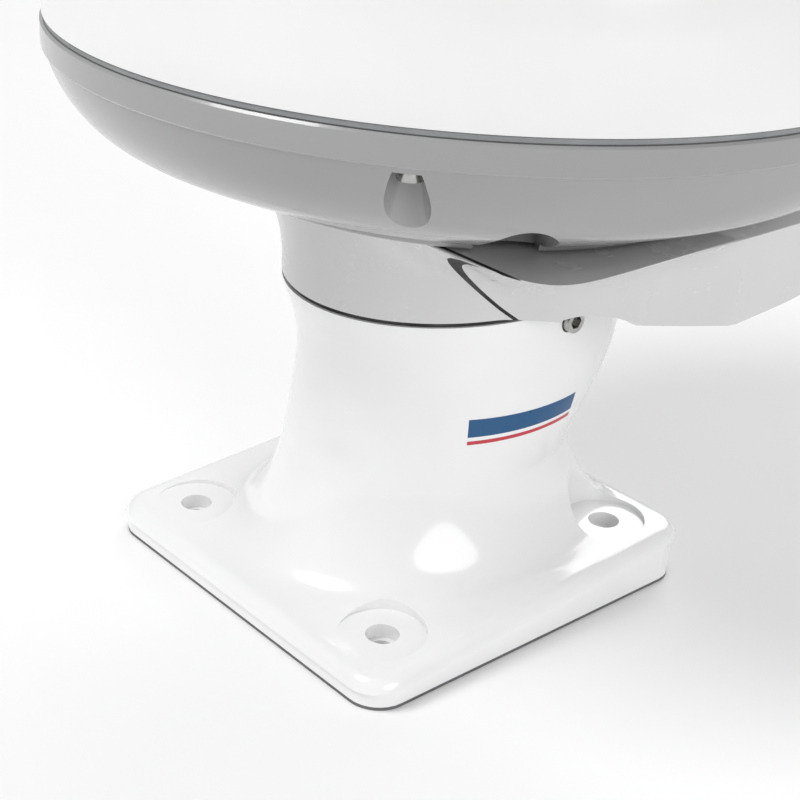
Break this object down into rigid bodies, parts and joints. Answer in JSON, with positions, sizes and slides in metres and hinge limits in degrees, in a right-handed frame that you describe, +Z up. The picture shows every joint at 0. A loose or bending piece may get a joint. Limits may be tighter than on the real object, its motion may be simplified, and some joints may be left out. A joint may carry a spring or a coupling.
{
  "type": "marine radar dome on pedestal",
  "caption": "Enclosed marine radar dome with a turning antenna inside, on an aft-leaning cast pedestal with a square base.",
  "frame": {"origin": "dome axis at the deck, in the plane under the base gasket", "axes": "+X forward, +Y port, +Z up"},
  "size_m": [0.332, 0.332, 0.36],
  "materials": {
    "white_paint": "gloss",
    "adapter_paint": "gloss",
    "pan_plastic": "gloss",
    "radome_plastic": "gloss",
    "black_rubber": "matte",
    "grey_rubber": "matte",
    "pale_rubber": "matte",
    "stainless": "satin",
    "bearing_steel": "satin",
    "aluminium": "satin",
    "dark_anodised": "satin",
    "brass": "satin",
    "acetal": "satin",
    "black_plastic": "matte",
    "circuit_board": "satin",
    "copper_array": "satin"
  },
  "bodies": {
    "housing": {"base_gasket": "grey_rubber", "pedestal_casting": "white_paint", "neck_gasket": "black_rubber", "lock_bolts": "stainless", "front_collar": "adapter_paint", "rear_housing": "adapter_paint", "housing_gasket": "black_rubber", "neck_bolts": "stainless", "neck_washers": "stainless", "dome_pads": "grey_rubber", "dome_mount_bolts": "stainless", "pan_inserts": "brass", "lower_pan": "pan_plastic", "radome_gasket": "pale_rubber", "upper_radome": "radome_plastic", "radome_screws": "stainless", "data_socket": "black_plastic", "power_socket": "black_plastic", "vent_plug": "black_plastic", "chassis_plate": "aluminium", "chassis_standoffs": "brass", "chassis_screws": "stainless", "bearing_tower": "aluminium", "bearing_outer_races": "bearing_steel", "motor": "dark_anodised", "motor_mount": "aluminium", "motor_posts": "aluminium", "rotary_joint_stator": "brass", "zero_sensor": "circuit_board", "transceiver_module": "aluminium", "heat_sink": "dark_anodised", "power_board": "circuit_board", "processor_board": "circuit_board", "board_standoffs": "brass"},
    "turntable": {"bearing_inner_races": "bearing_steel", "spindle": "bearing_steel", "drive_gear": "acetal", "rotary_joint_rotor": "brass", "antenna_bracket": "aluminium", "antenna_array": "copper_array", "array_cover": "acetal", "bracket_screws": "stainless", "zero_magnet": "bearing_steel"},
    "pinion": {"motor_shaft": "bearing_steel", "motor_pinion": "brass"}
  },
  "joints": [
    {"name": "antenna_spin", "type": "hinge", "parent": "housing", "child": "turntable", "pos_m": [0, 0, 0.236], "axis": [0, 0, 1], "continuous": true},
    {"name": "pinion_spin", "type": "hinge", "parent": "housing", "child": "pinion", "pos_m": [0.054, 0, 0.236], "axis": [0, 0, 1], "continuous": true}
  ],
  "couplings": [
    {"joint": "pinion_spin", "follows": "antenna_spin", "ratio": -5}
  ]
}
